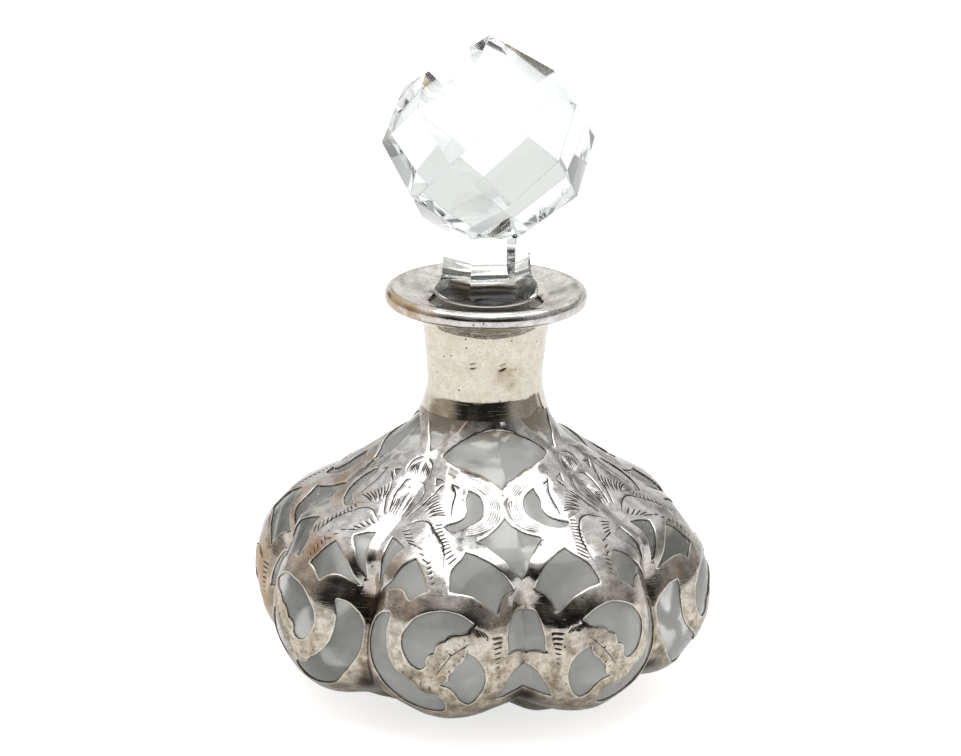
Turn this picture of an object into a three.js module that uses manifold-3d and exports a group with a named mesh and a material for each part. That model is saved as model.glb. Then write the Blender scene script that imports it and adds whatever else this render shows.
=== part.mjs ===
// A scent bottle for a dressing table: an eight-lobed glass body with a flat lip, pierced
// silver scrollwork laid over the glass, and a cut-glass ball stopper on a ground peg.
// Millimetres, +Z up, the origin at the middle of the base.

import * as THREE from "three";
import { ConvexGeometry } from "three/addons/geometries/ConvexGeometry.js";
import { mergeVertices } from "three/addons/utils/BufferGeometryUtils.js";
import Module from "manifold-3d";

const wasm = await Module();
wasm.setup();

// Driving dimensions. Lengths are in millimetres, and angles in degrees.
const LOBES = 8;
const SWELL_HEIGHT = 16; // the lobes swell from a point on the axis at this height
const SILVER = 0.5; // thickness of the silver
const SEAT_GAP = 0.3; // between the silver and the glass that it lies on
const SILVER_BOTTOM = -27; // elevation of the silver's lower edge, seen from the swell point
const COLLAR_BOTTOM = 73; // elevation at which the scrollwork meets the neck's collar
const LOBE_COLUMNS = 48; // facets round the lobes
const NECK_COLUMNS = 24; // facets round the shoulder, the neck and the hollow
const SHEET_COLUMNS = 36; // facets round the collar and the rim
const SHOULDER = 40; // elevation above which the body has the neck's facets
const OUTLINE_STEP = 2.7; // degrees between the points of a pierced outline

// The silver's outer surface, as [elevation, reach along a lobe's ridge]
const RIDGE = [
  [-90, 18], [-75, 18.7], [-65, 19.9], [-55, 22], [-48, 23.9], [-42, 25], [-36, 26.1],
  [-29, 28.1], [-23, 31.4], [-17, 36], [-9, 39], [0, 41.2], [12, 42], [26, 39.6], [40, 35.3],
  [54, 34], [59, 34.1], [64, 34.5], [70, 36.1], [73, 38], [74.8, 40.2], [75.8, 42.3],
];
// The creases between the lobes, as [elevation, depth as a share of the ridge's reach]
const CREASE = [
  [-90, 0], [-72, 0], [-64, 0.1], [-55, 0.21], [-45, 0.29], [-29, 0.305], [-20, 0.232],
  [-10, 0.095], [0, 0.116], [15, 0.152], [30, 0.032], [45, 0.036], [60, 0.025], [73, 0],
];
// How round the lobes are across: under 1 is full with sharp creases, and over 1 is pinched
const FULLNESS = [[-60, 0.8], [-45, 1.38], [-20, 0.91], [15, 0.91], [45, 0.8]];
// The glass is thicker under the base than at the sides, as [elevation, radial thickness]
const WALL = [[-90, 6], [-45, 4.2], [-20, 3.3], [62, 3.2]];
const INNER_LOBING = 0.55; // the hollow's lobes are this share as deep as the outer ones

// Rows of the body's mesh, by elevation, with the silver's lower edge among them. The hollow
// has them all, and the silver and the glass's outside have those from that edge up.
const ROWS = [
  -90, -70, -57, -48, -40, -33, SILVER_BOTTOM, -22.5, -18, -13.5, -9, -4.5, 0, 9, 18, 27, 36,
  45, 54, 60, 65, 69.5, COLLAR_BOTTOM,
];
const FOOT_ROWS = 6; // rows of the glass between its ground flat and the silver
const HOLLOW_TOP = 54; // above this the hollow leaves the lobed form for the neck

// Round profiles, as [radius, height]
const NECK_FOOT = [11.05, 52.7];
const NECK = [[10.5, 55], [10.4, 58.5], [10.8, 63], [11.4, 66.2], [13.2, 69], [15.3, 70.2]];
const UNDER_LIP = [[16.5, 70.6], [16.9, 70.85]];
const LIP_ROLL = [
  [17.2, 71.2], [17.75, 71.4], [18, 71.85], [17.85, 72.35], [17.3, 72.75], [16.3, 73],
];
const LIP_TOP = [[14.6, 72.95], [12.4, 72.5], [11, 72.05], [10.4, 71.5]];
const GLASS_LIP = [[15.4, 71.1], [15.9, 71.45], [15.6, 71.85], [14.2, 71.9], [12.2, 71.5]];
const THROAT = [[11.1, 70.95], [8.2, 70]];

// The ground joint tapers, so the peg is wider at its top
const PEG_TOP = { radius: 7.3, height: 69.5 };
const PEG_END = { radius: 6.3, height: 48.5 };
const PEG_EDGE = 0.5; // chamfer round the peg's end
const JOINT_GAP = 0.2; // radial gap between the peg and the neck's bore
const BORE_END = 47.5; // height at which the bore opens into the body
const BORE_FLARE = [[7.4, 45.4], [10.2, 43.6]];

// The ball is cut in five staggered rings of corners, as [radius, height above its middle]
const STOPPER_SIDES = 6;
const BALL_HEIGHT = 100.1;
const BALL_APEX = 19.25;
const BALL_RINGS = [
  [11.34, 12.66], [16.14, 8.42], [18.94, 0.45], [16.68, -7.98], [11.65, -13.22],
];
const BALL_FOOT = [8.05, -15.65]; // the lowest facets run down to the shank's corners
const STOPPER_TURN = 12.4; // how far the shank's corners are turned from the front crease
const SHANK_CORNERS = [
  [8.05, 86], [7.95, 83], [7.8, 80], [7.85, 77.5], [8.3, 75.4], [9.4, 73.9], [11, 72.9],
];
const SHANK_ROUND = [[8.7, 72.45], [9.15, 72.8], [9.25, 73.4], [9.1, 75], [9.1, 86]];
const PEG_SHOULDER = [8.2, 72.6];

// Pierced outlines over half a lobe pair, from a flower's crease (turn 0) to the crease
// between two flowers (turn 45), as [turn, elevation], with 1 after them at a sharp corner
const CORNER = 1;
const HALF_PERIOD = 45;
const FLOWERS = [0, 90, 180, 270];
const OPEN_SIDES = {
  beside_petal: [
    [29.2, 52.2, CORNER], [32.7, 51], [35.3, 49.2], [36.5, 46.5], [35.6, 43.5], [33.5, 41.2],
    [31, 39.5], [27.8, 38.2], [24.7, 37.4], [21.5, 38.9, CORNER], [26, 40.3], [28.8, 42.3],
    [29.5, 44.6], [28.3, 48],
  ],
  petal_notch: [[11.5, 55.8, CORNER], [15.5, 54.8, CORNER], [12.5, 52.8, CORNER]],
  beside_stem: [
    [3.4, 33.2, CORNER], [6.5, 32.4], [9.8, 30.6, CORNER], [7, 27.3], [4.6, 23.8],
    [2.2, 20.6, CORNER], [2.6, 24.5], [3.2, 29],
  ],
  ring_heart: [
    [8.2, 13.4, CORNER], [5.6, 12.9], [3.2, 11.2], [1.6, 8.6], [1.1, 5.8], [1.3, 2.5],
    [2.6, -1.5], [4.8, -5], [8, -8.6], [12, -11.6], [16, -13], [20, -13.6], [23.2, -12.8],
    [24, -10.6], [23.3, -8.2], [21.4, -6.6], [18.8, -6.5], [17, -5.6, CORNER], [15.8, -3.8],
    [13.2, -2], [10.6, 0], [8.8, 2.8], [7.9, 6], [7.9, 9.5], [8.4, 12],
  ],
  under_leaf: [
    [14.6, 27.9, CORNER], [16.6, 25], [18, 22.3], [18.9, 20.3, CORNER], [16.5, 19.3],
    [14, 17.4, CORNER], [12, 19.3], [9.5, 19.8], [6.5, 19.2], [3.6, 18.2, CORNER],
    [6.5, 21], [10.5, 25.3],
  ],
  inner_curl: [
    [31, 12.6, CORNER], [28.3, 14.4], [24.7, 15.6], [21.2, 15.3], [17.2, 13.8], [14.6, 11.3],
    [13.3, 8.8], [13.2, 6.3], [14, 3.8], [15.8, 1.7], [18.2, 0.9], [19.9, 2, CORNER],
    [20.6, 4.2], [22.4, 5.9], [23.8, 7.7], [25.6, 9.6], [27.6, 10.6], [30, 10.6],
  ],
  outer_curl: [
    [29.5, 5.8, CORNER], [31.5, 4.8], [33.2, 2.8], [34.2, 0], [34.2, -3], [33, -6], [31, -9],
    [29.6, -10, CORNER], [27.8, -8.6], [26.8, -6.4], [25.3, -4.2], [23, -3.2, CORNER],
    [24.6, -1.4], [25.3, 0.6], [26.3, 2.2], [27.8, 2.7], [28.6, 4.2],
  ],
  over_ring: [
    [29.3, 31.2, CORNER], [33, 29.9], [36.8, 27.7], [39.3, 25.1], [41, 22.8],
    [42.2, 21, CORNER], [40, 20.2], [38.3, 18.6], [37.3, 16.6], [36.9, 14.7, CORNER],
    [33.5, 17.6], [29, 19.8], [24.4, 20.5, CORNER], [24.8, 24.5], [26.2, 27.2], [28, 29],
  ],
};
// Openings that the crease between two flowers halves: each runs from that crease round to it
const OPEN_ON_CREASE = {
  under_arch: [
    [45, 71.5], [34, 70.9], [26, 69.7], [18.8, 67.9], [14, 66.2], [9.5, 64, CORNER], [16, 62],
    [21.7, 60.8], [31.8, 59.1], [40, 56.6], [43, 55], [45, 53.7],
  ],
  diamond: [
    [45, 42.6, CORNER], [42.5, 40.3], [40, 38.2], [37, 36.2], [34.2, 34.9, CORNER],
    [36.5, 33.3], [39, 31], [41.3, 28.3], [43, 25.8], [45, 23.6, CORNER],
  ],
  crease_arch: [
    [45, 15.6], [42.3, 15.2], [41.1, 12.5], [40.4, 8.5], [40.2, 4.2, CORNER], [42, 4.9],
    [43.6, 4.9], [45, 4.3],
  ],
  crease_mouth: [
    [45, 0.9], [42.8, -0.2], [41, -2.2], [39.2, -5.5], [37.4, -9.2, CORNER], [39.5, -8.8],
    [42, -7.6], [45, -6.6],
  ],
};
// The notch over each flower, from its crease up to the collar's edge
const OVER_FLOWER = [
  [0, 64.8, CORNER], [4.5, 67], [9.8, 69.2], [15.5, 71], [21.5, COLLAR_BOTTOM, CORNER],
];

// The pattern was laid out by hand: its upper parts sit a few degrees round from the creases
const DRIFT_TURN = 45;
const DRIFT_BODY = [[22, 0], [38, 3]];
const DRIFT_SHOULDER = [[50, 0], [60, 6]];

const CREASE_STEP = 4.5; // degrees between the points along a crease
const CLEAR_OF_EDGE = 1.2; // no inner point of the silver's mesh lies nearer to an outline
const FLAT_EPSILON = 1e-12; // an area too small to matter in the flattened pattern
const NORMAL_STEP = 0.4; // degrees either side, to measure the surface's slope

const COLOURS = { glass: 0xdfe6e2, silver: 0xc9c4b8, stopper: 0xeef3f2 };

// A smooth curve through a table's [x, y] rows that never overshoots them
function curveThrough(table, x) {
  const last = table.length - 1;
  if (x <= table[0][0]) return table[0][1];
  if (x >= table[last][0]) return table[last][1];
  const slope = (i) => (table[i + 1][1] - table[i][1]) / (table[i + 1][0] - table[i][0]);
  const tangent = (i) => {
    if (i === 0) return slope(0);
    if (i === last) return slope(last - 1);
    const [before, after] = [slope(i - 1), slope(i)];
    return before * after <= 0 ? 0 : (2 * before * after) / (before + after);
  };
  const i = table.findIndex((row) => row[0] > x) - 1;
  const width = table[i + 1][0] - table[i][0];
  const t = (x - table[i][0]) / width;
  const rise = table[i][1] * (2 * t ** 3 - 3 * t ** 2 + 1) + table[i + 1][1] * (3 * t ** 2 - 2 * t ** 3);
  return rise + width * (tangent(i) * (t ** 3 - 2 * t ** 2 + t) + tangent(i + 1) * (t ** 3 - t ** 2));
}

const radians = THREE.MathUtils.degToRad;
const roundPoint = (turn, radius, height) =>
  new THREE.Vector3(radius * Math.sin(radians(turn)), -radius * Math.cos(radians(turn)), height);
const swellPoint = (turn, elevation, reach) =>
  roundPoint(
    turn,
    reach * Math.cos(radians(elevation)),
    SWELL_HEIGHT + reach * Math.sin(radians(elevation)),
  );

// How far a direction lies up the side of its lobe: 0 in a crease and 1 on a ridge
function lobeRise(turn, elevation) {
  const across = Math.abs(Math.sin(radians((turn * LOBES) / 2)));
  return across ** curveThrough(FULLNESS, elevation);
}

function outerReach(turn, elevation) {
  const depth = curveThrough(CREASE, elevation);
  return curveThrough(RIDGE, elevation) * (1 - depth * (1 - lobeRise(turn, elevation)));
}

function innerReach(turn, elevation) {
  const crease = curveThrough(RIDGE, elevation) * (1 - curveThrough(CREASE, elevation));
  const outer = crease + INNER_LOBING * (outerReach(turn, elevation) - crease);
  return outer - SILVER - SEAT_GAP - curveThrough(WALL, elevation);
}

const surfacePoint = (turn, elevation) => swellPoint(turn, elevation, outerReach(turn, elevation));

function surfaceNormal(turn, elevation) {
  if (elevation <= -90) return new THREE.Vector3(0, 0, -1);
  const round = surfacePoint(turn + NORMAL_STEP, elevation);
  round.sub(surfacePoint(turn - NORMAL_STEP, elevation));
  const up = surfacePoint(turn, elevation + NORMAL_STEP);
  up.sub(surfacePoint(turn, elevation - NORMAL_STEP));
  return round.cross(up).normalize();
}

// The outer surface moved along its own normals: depth is positive into the bottle
const layerPoint = (turn, elevation, depth) =>
  surfacePoint(turn, elevation).addScaledVector(surfaceNormal(turn, elevation), -depth);

const turns = (columns) => Array.from({ length: columns }, (_, i) => (i * 360) / columns);
const columnsAt = (elevation) => (elevation < SHOULDER ? LOBE_COLUMNS : NECK_COLUMNS);
const layerRow = (elevation, depth) =>
  turns(columnsAt(elevation)).map((turn) => layerPoint(turn, elevation, depth));
const roundRow = ([radius, height], columns) =>
  turns(columns).map((turn) => roundPoint(turn, radius, height));

// The two angles that face an edge, from the far corners of the triangles that share it. Of a
// quad's two diagonals, the one that faces the smaller angles makes the better triangles.
function anglesFacing(from, to, far, otherFar) {
  const angleAt = (corner) => from.clone().sub(corner).angleTo(to.clone().sub(corner));
  return angleAt(far) + angleAt(otherFar);
}

const suits = (from, to, far, otherFar) =>
  anglesFacing(from, to, far, otherFar) <= anglesFacing(far, otherFar, from, to) + 1e-6;

// Triangles between two rings of points, which may hold different numbers of them. Seen from
// outside, the upper ring is above the lower one, and a ring of one point is a pole.
function weave(lower, upper) {
  const triangles = [];
  const [across, over] = [lower, upper].map((ring) => (ring.length > 1 ? ring.length : 0));
  const [low, high] = [(k) => lower[k % lower.length], (k) => upper[k % upper.length]];
  let [i, j] = [0, 0];
  const lowerFirst = () => {
    if (i === across || j === over) return j === over;
    const lead = (j + 1) * across - (i + 1) * over;
    return lead === 0 ? suits(low(i + 1), high(j), low(i), high(j + 1)) : lead > 0;
  };
  while (i < across || j < over) {
    if (lowerFirst()) {
      triangles.push(low(i), low(i + 1), high(j));
      i += 1;
    } else {
      triangles.push(low(i), high(j + 1), high(j));
      j += 1;
    }
  }
  return triangles;
}

const weaveRows = (rows) => rows.slice(1).flatMap((row, k) => weave(rows[k], row));
const surfaceOf = (triangles) => new THREE.BufferGeometry().setFromPoints(triangles);

// A sheet between two layers of rows, which both run up the outside of the bottle
function sheetBetween(outer, inner) {
  const edges = [...weave(inner[0], outer[0]), ...weave(outer.at(-1), inner.at(-1))];
  return surfaceOf([...weaveRows(outer), ...weaveRows(inner).reverse(), ...edges]);
}

function solidFrom(geometry) {
  const bare = new THREE.BufferGeometry().setAttribute("position", geometry.getAttribute("position"));
  if (geometry.index) bare.setIndex(geometry.index);
  const merged = mergeVertices(bare, 1e-4);
  return new wasm.Manifold(
    new wasm.Mesh({
      numProp: 3,
      vertProperties: merged.getAttribute("position").array,
      triVerts: new Uint32Array(merged.index.array),
    }),
  );
}

function geometryFrom(solid) {
  const mesh = solid.getMesh();
  const geometry = new THREE.BufferGeometry();
  geometry.setAttribute("position", new THREE.BufferAttribute(mesh.vertProperties, 3));
  return geometry.setIndex(new THREE.BufferAttribute(mesh.triVerts, 1));
}

function named(name, geometry, material) {
  geometry.computeVertexNormals();
  const mesh = new THREE.Mesh(geometry, material);
  mesh.name = name;
  return mesh;
}

// A round profile moved sideways along its own normals, to the left of its direction
function profileBeside(profile, distance) {
  return profile.map(([radius, height], i) => {
    const before = profile[Math.max(i - 1, 0)];
    const after = profile[Math.min(i + 1, profile.length - 1)];
    const along = new THREE.Vector2(after[0] - before[0], after[1] - before[1]).normalize();
    return [radius - along.y * distance, height + along.x * distance];
  });
}

// A sheet of silver bent to a round profile, which runs up the outside and in over the lip
function roundSheet(profile) {
  const layers = [profile, profileBeside(profile, SILVER)];
  return sheetBetween(...layers.map((layer) => layer.map((at) => roundRow(at, SHEET_COLUMNS))));
}

// The elevation at which the glass rises from its ground flat
function groundEdge(turn) {
  let [onFlat, above] = [-89, SILVER_BOTTOM];
  for (let halving = 0; halving < 30; halving++) {
    const middle = (onFlat + above) / 2;
    if (layerPoint(turn, middle, SILVER + SEAT_GAP).z > 0) above = middle;
    else onFlat = middle;
  }
  return above;
}

// A row of the lobes' feet: share runs from 0 round the ground flat to 1 under the silver
function footRow(share) {
  return turns(LOBE_COLUMNS).map((turn) => {
    const edge = groundEdge(turn);
    return layerPoint(turn, edge + share * (SILVER_BOTTOM - edge), SILVER + SEAT_GAP);
  });
}

function glassBottle() {
  const rows = [[roundPoint(0, 0, 0)]];
  for (let row = 0; row < FOOT_ROWS; row++) rows.push(footRow(row / FOOT_ROWS));
  for (const elevation of ROWS.filter((e) => e >= SILVER_BOTTOM)) {
    rows.push(layerRow(elevation, SILVER + SEAT_GAP));
  }
  const underCollar = profileBeside([NECK_FOOT, ...NECK], SILVER + SEAT_GAP).slice(1, -1);
  const bore = [
    [PEG_TOP.radius + JOINT_GAP, PEG_TOP.height],
    [PEG_END.radius + JOINT_GAP, BORE_END],
  ];
  const round = [...underCollar, ...GLASS_LIP, ...THROAT, ...bore, ...BORE_FLARE];
  rows.push(...round.map((at) => roundRow(at, NECK_COLUMNS)));
  for (const elevation of ROWS.slice(1).filter((e) => e <= HOLLOW_TOP).reverse()) {
    const hollow = (turn) => swellPoint(turn, elevation, innerReach(turn, elevation));
    rows.push(turns(NECK_COLUMNS).map(hollow));
  }
  rows.push([swellPoint(0, -90, innerReach(0, -90))]);
  for (const point of rows.flat()) point.z = Math.max(point.z, 0);
  return surfaceOf(weaveRows(rows));
}

const drift = (turn, elevation) => {
  const from = radians(turn - DRIFT_TURN);
  const body = -curveThrough(DRIFT_BODY, elevation) * Math.cos(from);
  return body + curveThrough(DRIFT_SHOULDER, elevation) * Math.sin(from);
};

// The outline's rounded runs between its corners, as points about OUTLINE_STEP apart. An even
// number of steps keeps a point in the middle of a run, which lies on a mirrored one's crease.
function smoothOutline(points) {
  const first = points.findIndex((p) => p[2] === CORNER);
  const loop = [...points.slice(first), ...points.slice(0, first + 1)];
  const corners = loop.flatMap((p, i) => (p[2] === CORNER ? [i] : []));
  return corners.slice(1).flatMap((end, k) => smoothRun(loop.slice(corners[k], end + 1)).slice(0, -1));
}

function smoothRun(points) {
  const knots = points.map(([turn, elevation]) => new THREE.Vector3(turn, elevation, 0));
  const curve = new THREE.CatmullRomCurve3(knots, false, "centripetal");
  const pairs = Math.round(curve.getLength() / OUTLINE_STEP / 2);
  return curve.getSpacedPoints(Math.max(1, 2 * pairs)).map((p) => [p.x, p.y]);
}

// A closed outline from its half, whose first and last points lie on the crease at turn axis
function mirroredLoop(half, axis) {
  const back = half.slice(1, -1).reverse();
  return [...half, ...back.map(([turn, ...rest]) => [2 * axis - turn, ...rest])];
}

// The upper edge of the scrollwork: notched over each flower, and along the collar between
function collarEdge() {
  const side = smoothRun(OVER_FLOWER);
  const notch = [...side.slice(1).reverse().map(([turn, elevation]) => [-turn, elevation]), ...side];
  const between = turns(NECK_COLUMNS).filter((turn) => turn > side.at(-1)[0] && turn < 90 - side.at(-1)[0]);
  const quarter = [...notch, ...between.map((turn) => [turn, COLLAR_BOTTOM])];
  return FLOWERS.flatMap((flower) => quarter.map(([turn, elevation]) => [flower + turn, elevation]));
}

function openings() {
  const sides = Object.values(OPEN_SIDES).map(smoothOutline);
  const creases = Object.values(OPEN_ON_CREASE).map((half) =>
    smoothOutline(mirroredLoop(half, HALF_PERIOD)),
  );
  const placed = (outlines, flower, side) =>
    outlines.map((outline) => outline.map(([turn, elevation]) => [flower + side * turn, elevation]));
  return FLOWERS.flatMap((flower) => [
    ...placed([...sides, ...creases], flower, 1),
    ...placed(sides, flower, -1),
  ]);
}

const drifted = (outline) => outline.map(([turn, elevation]) => [turn + drift(turn, elevation), elevation]);

// The body's surface laid flat about the neck, with every small shape kept true
function flatPoint([turn, elevation]) {
  const out = Math.tan(radians(90 - elevation) / 2);
  return new THREE.Vector2(out * Math.sin(radians(turn)), -out * Math.cos(radians(turn)));
}

const sideOf = (a, b, p) => (b.x - a.x) * (p.y - a.y) - (b.y - a.y) * (p.x - a.x);

// Turns the shared edges of badly shaped pairs of triangles until all are well shaped
function evenOut(faces, flat, places) {
  let turnedEdges = 0;
  do {
    turnedEdges = 0;
    const over = new Map();
    faces.forEach(([a, b, c], face) => {
      for (const [from, to, far] of [[a, b, c], [b, c, a], [c, a, b]]) {
        over.set(from * flat.length + to, { face, from, to, far });
      }
    });
    const changed = new Set();
    for (const { face, from, to, far } of over.values()) {
      const mate = over.get(to * flat.length + from);
      if (!mate || changed.has(face) || changed.has(mate.face)) continue;
      const reach = [from, to].map((corner) => sideOf(flat[far], flat[mate.far], flat[corner]));
      if (reach[0] > -FLAT_EPSILON || reach[1] < FLAT_EPSILON) continue;
      if (suits(places[from], places[to], places[far], places[mate.far])) continue;
      faces[face] = [from, mate.far, far];
      faces[mate.face] = [mate.far, to, far];
      changed.add(face).add(mate.face);
      turnedEdges += 1;
    }
  } while (turnedEdges > 0);
}

// Splits the triangle that a point lies in. A point in an opening lies in none.
function addPoint(faces, flat, at) {
  const p = flat[at];
  const within = faces.findIndex((face) =>
    face.every((corner, i) => sideOf(flat[corner], flat[face[(i + 1) % 3]], p) > -FLAT_EPSILON),
  );
  if (within < 0) return;
  const [a, b, c] = faces[within];
  faces[within] = [a, b, at];
  faces.push([b, c, at], [c, a, at]);
}

// Points inside the silver that carry the lobes' form: rows of facets, and the creases
function formRows() {
  const rows = ROWS.filter((e) => e > SILVER_BOTTOM && e < COLLAR_BOTTOM).map((elevation) =>
    turns(columnsAt(elevation)).map((turn) => [turn, elevation]),
  );
  for (let elevation = SILVER_BOTTOM; elevation < SHOULDER; elevation += CREASE_STEP) {
    rows.push(turns(LOBES).map((turn) => [turn, elevation]));
  }
  return rows;
}

// The pierced sheet's faces over its outlines and the points inside it
function piercedSheet() {
  const foot = turns(LOBE_COLUMNS).map((turn) => [turn, SILVER_BOTTOM]);
  const holes = [collarEdge(), ...openings()].map(drifted);
  const points = [foot, ...holes].flat();
  const flat = points.map(flatPoint);
  const faces = THREE.ShapeUtils.triangulateShape(
    foot.map(flatPoint),
    holes.map((hole) => hole.map(flatPoint)),
  );
  const places = points.map((p) => surfacePoint(...p));
  evenOut(faces, flat, places);
  for (const row of formRows()) {
    for (const point of row) {
      const place = surfacePoint(...point);
      if (places.some((other) => other.distanceTo(place) < CLEAR_OF_EDGE)) continue;
      points.push(point);
      flat.push(flatPoint(point));
      places.push(place);
      addPoint(faces, flat, flat.length - 1);
    }
    evenOut(faces, flat, places);
  }
  return { points, faces };
}

// The sheet with its thickness, and walls round every edge that only one face uses
function silverFretwork() {
  const { points, faces } = piercedSheet();
  const outer = points.map((p) => layerPoint(...p, 0));
  const inner = points.map((p) => layerPoint(...p, SILVER));
  const edges = new Set(faces.flatMap(([a, b, c]) => [`${a} ${b}`, `${b} ${c}`, `${c} ${a}`]));
  const triangles = [];
  for (const [a, b, c] of faces) {
    triangles.push(outer[a], outer[b], outer[c], inner[c], inner[b], inner[a]);
  }
  for (const edge of edges) {
    const [a, b] = edge.split(" ");
    if (edges.has(`${b} ${a}`)) continue;
    triangles.push(outer[b], outer[a], inner[a], outer[b], inner[a], inner[b]);
  }
  return surfaceOf(triangles);
}

const turned = (profile, sides, turn = 0) =>
  new THREE.LatheGeometry(
    profile.map(([radius, height]) => new THREE.Vector2(radius, height)),
    sides,
    radians(turn),
  ).rotateX(Math.PI / 2);

// The ball is the hull of its apex, its staggered rings of corners and the shank's corners
function cutBall() {
  const points = [roundPoint(0, 0, BALL_HEIGHT + BALL_APEX)];
  const ring = ([radius, above], turn) => {
    for (let i = 0; i < STOPPER_SIDES; i++) {
      points.push(roundPoint(turn + (i * 360) / STOPPER_SIDES, radius, BALL_HEIGHT + above));
    }
  };
  const half = 180 / STOPPER_SIDES;
  BALL_RINGS.forEach((corners, k) => ring(corners, STOPPER_TURN + (k % 2 ? half : 0)));
  ring(BALL_FOOT, STOPPER_TURN);
  return new ConvexGeometry(points);
}

// A round flared shank with six flats cut down it, which run out in the flare
function cutShank() {
  const [foot, top] = [SHANK_ROUND[0][1], SHANK_CORNERS[0][1]];
  const cornersUp = SHANK_CORNERS.toReversed();
  const flats = [[0, foot], [cornersUp[0][0], foot], ...cornersUp, [0, top]];
  const blank = [[0, foot], ...SHANK_ROUND, [0, top]];
  const cut = solidFrom(turned(flats, STOPPER_SIDES, STOPPER_TURN));
  return cut.intersect(solidFrom(turned(blank, NECK_COLUMNS)));
}

function stopper() {
  const peg = [
    [0, PEG_END.height],
    [PEG_END.radius - PEG_EDGE, PEG_END.height],
    [PEG_END.radius, PEG_END.height + PEG_EDGE],
    [PEG_TOP.radius, PEG_TOP.height],
    PEG_SHOULDER,
    [0, SHANK_CORNERS[1][1]],
  ];
  const whole = solidFrom(cutBall()).add(cutShank()).add(solidFrom(turned(peg, NECK_COLUMNS)));
  return geometryFrom(whole);
}

const glass = new THREE.MeshStandardMaterial({
  color: COLOURS.glass, roughness: 0.05, transparent: true, opacity: 0.35,
});
const silver = new THREE.MeshStandardMaterial({
  color: COLOURS.silver, roughness: 0.3, metalness: 1,
});
const cutGlass = new THREE.MeshStandardMaterial({
  color: COLOURS.stopper, roughness: 0.02, transparent: true, opacity: 0.35,
});

const bottle = new THREE.Group();
bottle.add(
  named("glass_bottle", glassBottle(), glass),
  named("silver_fretwork", silverFretwork(), silver),
  named("silver_collar", roundSheet([NECK_FOOT, ...NECK, ...UNDER_LIP]), silver),
  named("silver_rim", roundSheet([...LIP_ROLL, ...LIP_TOP]), silver),
  named("stopper", stopper(), cutGlass),
);
export default bottle;
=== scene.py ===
"""Looks of the silver-clad scent bottle: lobed glass, pierced and engraved silver, cut stopper."""

import math
from itertools import product

import bmesh
import bpy
import numpy as np
from mathutils import Euler, Matrix, Vector, noise
from mathutils.geometry import delaunay_2d_cdt
from mathutils.kdtree import KDTree


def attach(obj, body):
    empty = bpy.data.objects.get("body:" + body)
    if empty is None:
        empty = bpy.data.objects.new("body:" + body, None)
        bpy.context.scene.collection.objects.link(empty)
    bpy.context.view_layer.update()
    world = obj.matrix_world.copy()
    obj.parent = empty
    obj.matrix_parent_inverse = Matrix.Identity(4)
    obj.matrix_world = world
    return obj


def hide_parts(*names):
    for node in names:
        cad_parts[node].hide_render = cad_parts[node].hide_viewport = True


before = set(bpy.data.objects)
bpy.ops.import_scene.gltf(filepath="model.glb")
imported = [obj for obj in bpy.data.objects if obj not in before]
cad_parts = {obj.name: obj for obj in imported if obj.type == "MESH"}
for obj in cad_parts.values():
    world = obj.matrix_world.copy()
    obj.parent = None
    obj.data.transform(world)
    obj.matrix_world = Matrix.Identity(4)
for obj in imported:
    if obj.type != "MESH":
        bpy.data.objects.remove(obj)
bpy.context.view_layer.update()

MM = 0.001
FRONT = 32.85  # the camera's side, in degrees round from -Y towards +X
ROOM_FILL = 0.6  # how bright the room is as light on the object
FLOOR_GLOW = 0.72  # what the floor adds where it is seen
HAND_WANDER = 0.5  # how far the cut pattern strays from its drawing, in degrees
RIPPLE = 0.065  # unevenness of the silver's face, in mm

# The camera, as fitted to the photo
CAMERA_PLACE = (0.4011, -0.6226, 0.2872)
CAMERA_TILT = 72.725
CAMERA_ROLL = 0.946
LENS = 163.42

# Dents in the neck, as (turn, height, half width in degrees, half height, depth in mm)
NECK_DENTS = [(21.3, 62.2, 7, 0.42, 0.27), (50.3, 62, 8, 0.5, 0.28), (38, 66, 14, 1.6, 0.12)]
GOLD_TURN = -24  # where the lip's roll is golden
TEAR_TURN = 93  # where the neck's foot is torn
TEAR_HEIGHT = 1.5

# The form of the lobed body. Lengths are in millimetres, and angles in degrees.
SWELL_HEIGHT = 16  # the lobes swell from a point on the axis at this height
MEAN_REACH = 37  # how far the surface lies from that point, where a degree is turned into mm
SILVER = 0.3  # the silver's thickness
GLASS_DEPTH = 0.34  # the glass lies this far under the silver's outer face
SILVER_BOTTOM = -33  # elevation of the pattern's lower edge, seen from the swell point
FOOT_LINE = 0.5  # height to which the pattern's lowest part is drawn down
FOOT_FROM = -20  # elevation below which it is drawn down
COLLAR_BOTTOM = 73
LOBES = 8
RIDGE = [
    (-90, 18), (-75, 18.7), (-65, 19.9), (-55, 22), (-48, 23.9), (-42, 25), (-36, 26.1),
    (-29, 28.1), (-23, 31.4), (-17, 36), (-9, 39), (0, 41.2), (12, 42), (26, 39.6), (40, 35.3),
    (54, 34), (59, 34.1), (64, 34.5), (70, 36.1), (73, 38), (74.8, 40.2), (75.8, 42.3),
]
CREASE = [
    (-90, 0), (-72, 0), (-64, 0.1), (-55, 0.21), (-45, 0.29), (-29, 0.305), (-20, 0.232),
    (-10, 0.095), (0, 0.116), (15, 0.152), (30, 0.032), (45, 0.036), (60, 0.025), (73, 0),
]
FULLNESS = [(-60, 0.8), (-45, 1.38), (-20, 0.91), (15, 0.91), (45, 0.8)]
WALL = [(-90, 6), (-45, 4.2), (-20, 3.3), (62, 3.2)]
INNER_LOBING = 0.55  # the hollow's lobes are this share as deep as the outer ones
HOLLOW_TOP = 54  # elevation at which the hollow leaves the lobed form for the bore

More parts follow.
